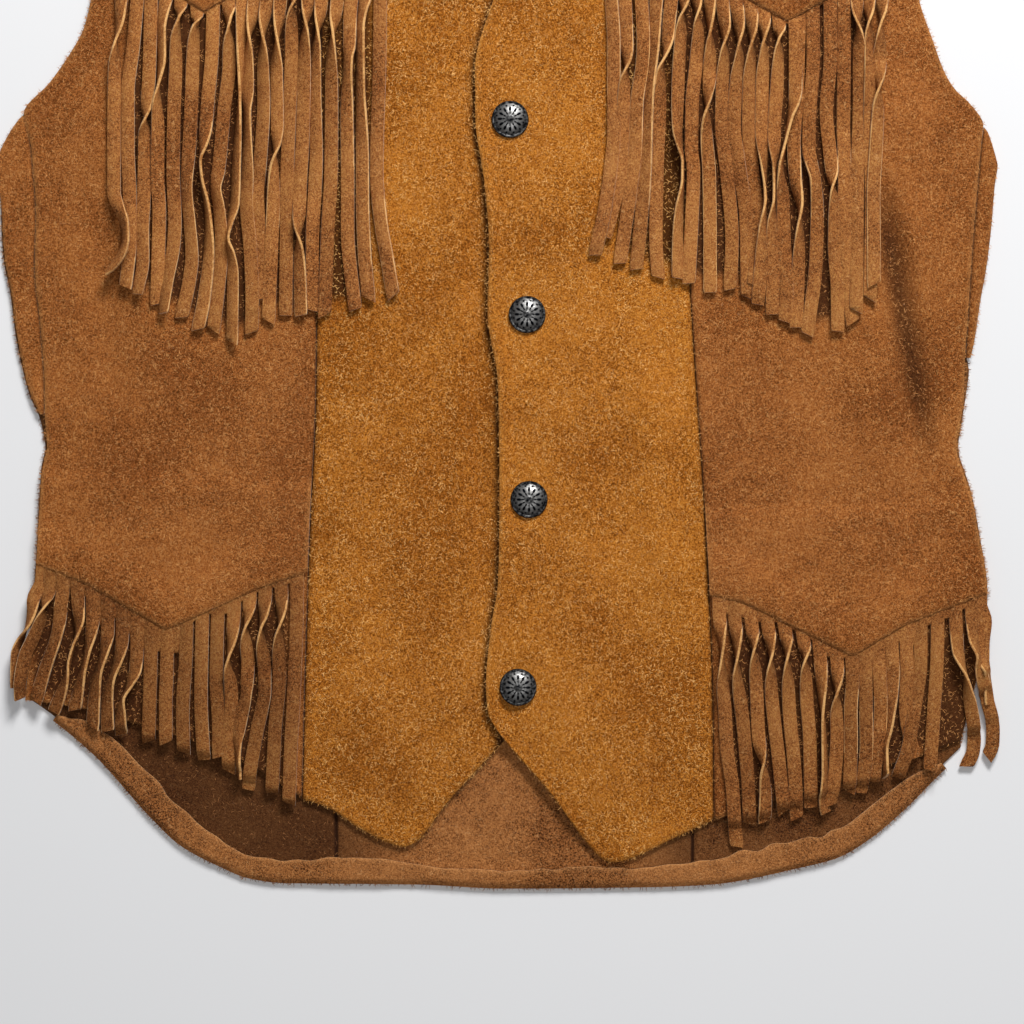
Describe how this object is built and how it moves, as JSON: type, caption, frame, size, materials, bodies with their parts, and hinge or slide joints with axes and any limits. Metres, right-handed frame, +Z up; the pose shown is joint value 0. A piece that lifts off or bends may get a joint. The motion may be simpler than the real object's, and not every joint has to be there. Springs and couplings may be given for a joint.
{
  "type": "western vest",
  "caption": "Fringed suede vest laid flat with its front up: lapped snap front, pointed yokes and pocket pieces with cut fringe, turned-up back hem.",
  "frame": {"origin": "on the table, under the middle of the back", "axes": "+Y towards the shoulders, +X to the right as the laid vest is seen from above (the wearer's left), +Z up from the table, out of the vest's front"},
  "size_m": [0.4678, 0.5898, 0.0121],
  "materials": {
    "centre_suede": "golden tan split suede, napped",
    "side_suede": "tan split suede, a little redder and darker, napped",
    "back_suede": "brown split suede, napped",
    "fringe_suede": "tan suede strips with lighter raw edges",
    "snap_metal": "antiqued dark metal, worn bright on the raised ornament"
  },
  "bodies": {
    "root": {"back_centre": "back_suede", "back_side_left": "back_suede", "back_side_right": "back_suede", "hem_turn_up": "back_suede", "side_gusset_left": "side_suede", "side_gusset_right": "side_suede", "side_front_left": "side_suede", "side_front_right": "side_suede", "front_left": "centre_suede", "front_right": "centre_suede", "pocket_left": "side_suede", "pocket_right": "side_suede", "pocket_fringe_left": "fringe_suede", "pocket_fringe_right": "fringe_suede", "yoke_left": "side_suede", "yoke_right": "side_suede", "chest_fringe_left": "fringe_suede", "chest_fringe_right": "fringe_suede", "snap_cap_1": "snap_metal", "snap_cap_2": "snap_metal", "snap_cap_3": "snap_metal", "snap_cap_4": "snap_metal"}
  },
  "joints": []
}
